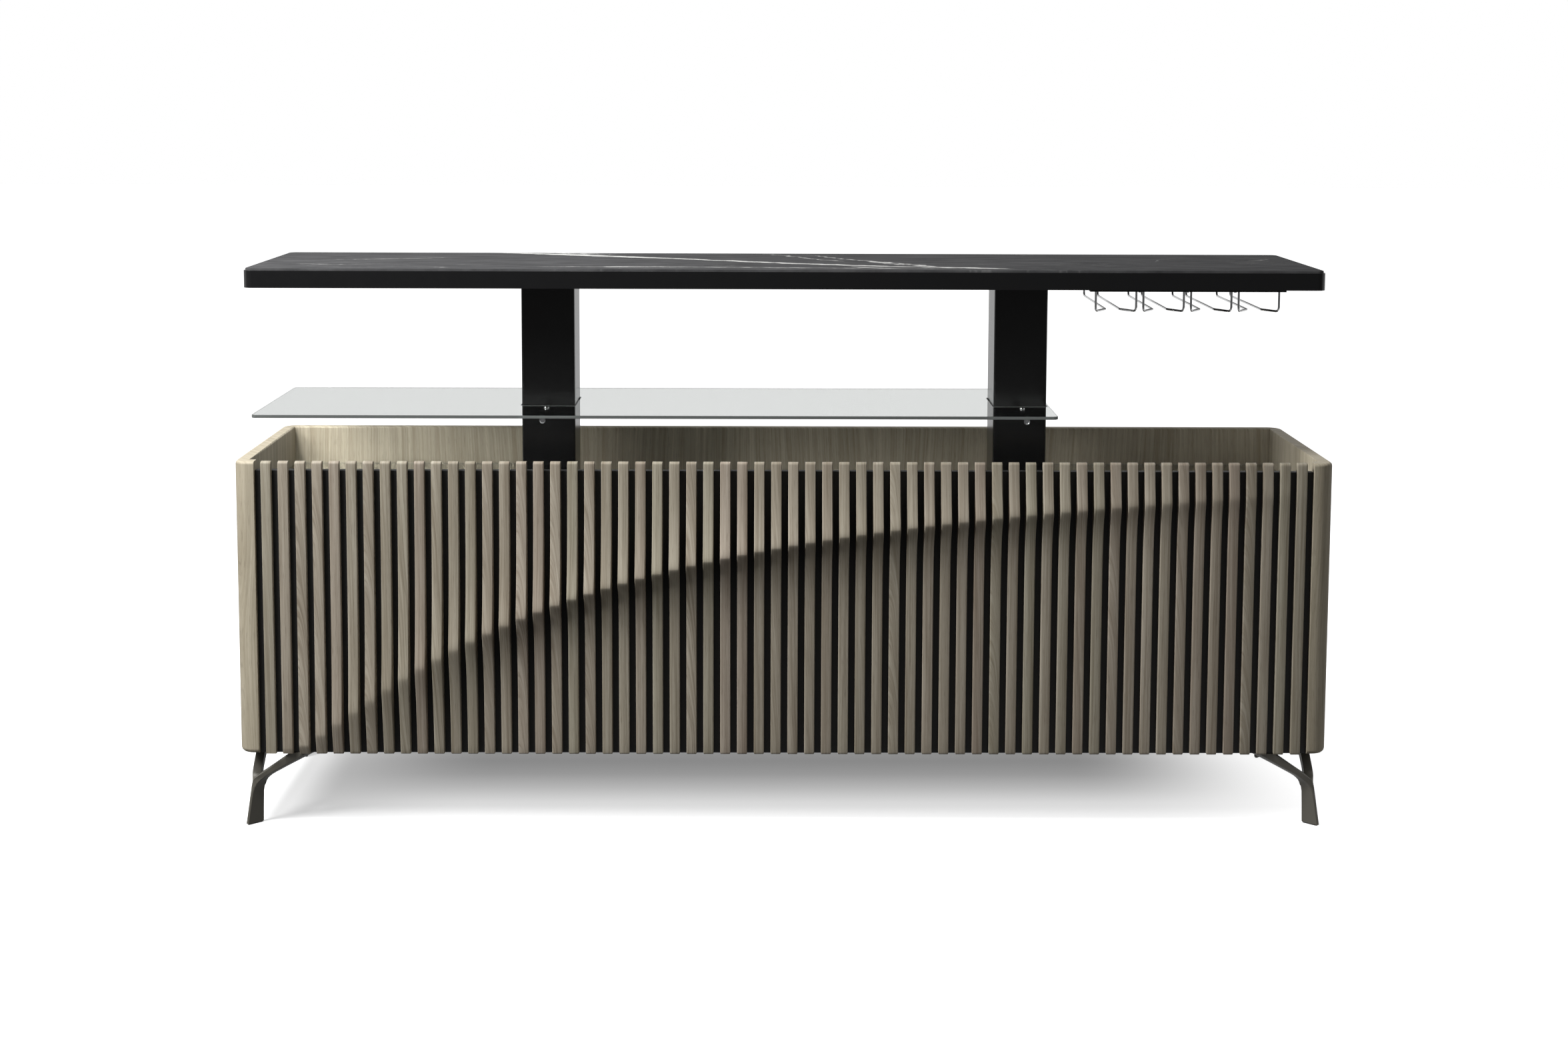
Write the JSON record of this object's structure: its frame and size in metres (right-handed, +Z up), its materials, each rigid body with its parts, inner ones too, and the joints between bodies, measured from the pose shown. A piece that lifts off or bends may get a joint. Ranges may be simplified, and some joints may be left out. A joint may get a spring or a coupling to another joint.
{
  "type": "bar sideboard",
  "caption": "Slatted timber sideboard with an open bottle well; a marble topped bar with glass shelves and stemware racks rises out of it on two motor lift columns.",
  "frame": {"origin": "on the floor, under the middle of the bounding box, front relief included", "axes": "+Z up, +X to the right as seen from the front, the slatted front faces -Y"},
  "size_m": [2.1, 0.537, 1.0775],
  "materials": {
    "side_panel_left": "grey stained open-grain timber, matt",
    "side_panel_right": "grey stained open-grain timber, matt",
    "back_panel": "grey stained open-grain timber, matt",
    "slatted_front": "grey stained open-grain timber, matt",
    "bottom_panel": "black board, matt",
    "leg_front_left": "dark olive lacquer over a casting, satin",
    "leg_plate_front_left": "black powder coat, satin",
    "glide_front_left": "natural nylon",
    "leg_front_right": "dark olive lacquer over a casting, satin",
    "leg_plate_front_right": "black powder coat, satin",
    "glide_front_right": "natural nylon",
    "leg_back_left": "dark olive lacquer over a casting, satin",
    "leg_plate_back_left": "black powder coat, satin",
    "glide_back_left": "natural nylon",
    "leg_back_right": "dark olive lacquer over a casting, satin",
    "leg_plate_back_right": "black powder coat, satin",
    "glide_back_right": "natural nylon",
    "mast_base_left": "black powder coat, satin",
    "mast_left": "zinc plated steel",
    "mast_guide_left": "natural nylon",
    "drive_left": "black moulded plastic",
    "mast_base_right": "black powder coat, satin",
    "mast_right": "zinc plated steel",
    "mast_guide_right": "natural nylon",
    "drive_right": "black moulded plastic",
    "control_box": "black moulded plastic",
    "power_inlet": "black moulded plastic",
    "stone_top": "black marble with pale veins, honed",
    "top_frame": "black lacquer, satin",
    "head_plate_left": "black powder coat, satin",
    "column_sleeve_left": "black powder coat, satin",
    "sleeve_guide_left": "natural nylon",
    "push_rod_left": "zinc plated steel",
    "head_plate_right": "black powder coat, satin",
    "column_sleeve_right": "black powder coat, satin",
    "sleeve_guide_right": "natural nylon",
    "push_rod_right": "zinc plated steel",
    "glass_shelf": "clear toughened glass, polished edges",
    "glass_peg_left_front": "bright chrome plate",
    "glass_cap_left_front": "bright chrome plate",
    "glass_peg_left_back": "bright chrome plate",
    "glass_cap_left_back": "bright chrome plate",
    "glass_peg_right_front": "bright chrome plate",
    "glass_cap_right_front": "bright chrome plate",
    "glass_peg_right_back": "bright chrome plate",
    "glass_cap_right_back": "bright chrome plate",
    "well_shelf_left": "clear toughened glass, polished edges",
    "shelf_arm_left_front": "black powder coat, satin",
    "shelf_arm_left_back": "black powder coat, satin",
    "well_shelf_right": "clear toughened glass, polished edges",
    "shelf_arm_right_front": "black powder coat, satin",
    "shelf_arm_right_back": "black powder coat, satin",
    "stem_rack_1": "bright chrome plate",
    "stem_rack_2": "bright chrome plate",
    "stem_rack_3": "bright chrome plate",
    "stem_rack_4": "bright chrome plate",
    "rack_strip_front": "black powder coat, satin",
    "rack_strip_back": "black powder coat, satin"
  },
  "bodies": {
    "case": {"side_panel_left": "side_panel_left", "side_panel_right": "side_panel_right", "back_panel": "back_panel", "slatted_front": "slatted_front", "bottom_panel": "bottom_panel", "leg_front_left": "leg_front_left", "leg_plate_front_left": "leg_plate_front_left", "glide_front_left": "glide_front_left", "leg_front_right": "leg_front_right", "leg_plate_front_right": "leg_plate_front_right", "glide_front_right": "glide_front_right", "leg_back_left": "leg_back_left", "leg_plate_back_left": "leg_plate_back_left", "glide_back_left": "glide_back_left", "leg_back_right": "leg_back_right", "leg_plate_back_right": "leg_plate_back_right", "glide_back_right": "glide_back_right", "mast_base_left": "mast_base_left", "mast_left": "mast_left", "mast_guide_left": "mast_guide_left", "drive_left": "drive_left", "mast_base_right": "mast_base_right", "mast_right": "mast_right", "mast_guide_right": "mast_guide_right", "drive_right": "drive_right", "control_box": "control_box", "power_inlet": "power_inlet"},
    "lift": {"stone_top": "stone_top", "top_frame": "top_frame", "head_plate_left": "head_plate_left", "column_sleeve_left": "column_sleeve_left", "sleeve_guide_left": "sleeve_guide_left", "push_rod_left": "push_rod_left", "head_plate_right": "head_plate_right", "column_sleeve_right": "column_sleeve_right", "sleeve_guide_right": "sleeve_guide_right", "push_rod_right": "push_rod_right", "glass_shelf": "glass_shelf", "glass_peg_left_front": "glass_peg_left_front", "glass_cap_left_front": "glass_cap_left_front", "glass_peg_left_back": "glass_peg_left_back", "glass_cap_left_back": "glass_cap_left_back", "glass_peg_right_front": "glass_peg_right_front", "glass_cap_right_front": "glass_cap_right_front", "glass_peg_right_back": "glass_peg_right_back", "glass_cap_right_back": "glass_cap_right_back", "well_shelf_left": "well_shelf_left", "shelf_arm_left_front": "shelf_arm_left_front", "shelf_arm_left_back": "shelf_arm_left_back", "well_shelf_right": "well_shelf_right", "shelf_arm_right_front": "shelf_arm_right_front", "shelf_arm_right_back": "shelf_arm_right_back", "stem_rack_1": "stem_rack_1", "stem_rack_2": "stem_rack_2", "stem_rack_3": "stem_rack_3", "stem_rack_4": "stem_rack_4", "rack_strip_front": "rack_strip_front", "rack_strip_back": "rack_strip_back"}
  },
  "joints": [
    {"name": "top_lift", "type": "slide", "parent": "case", "child": "lift", "axis": [0, 0, 1], "range_m": [-0.328, 0]}
  ]
}
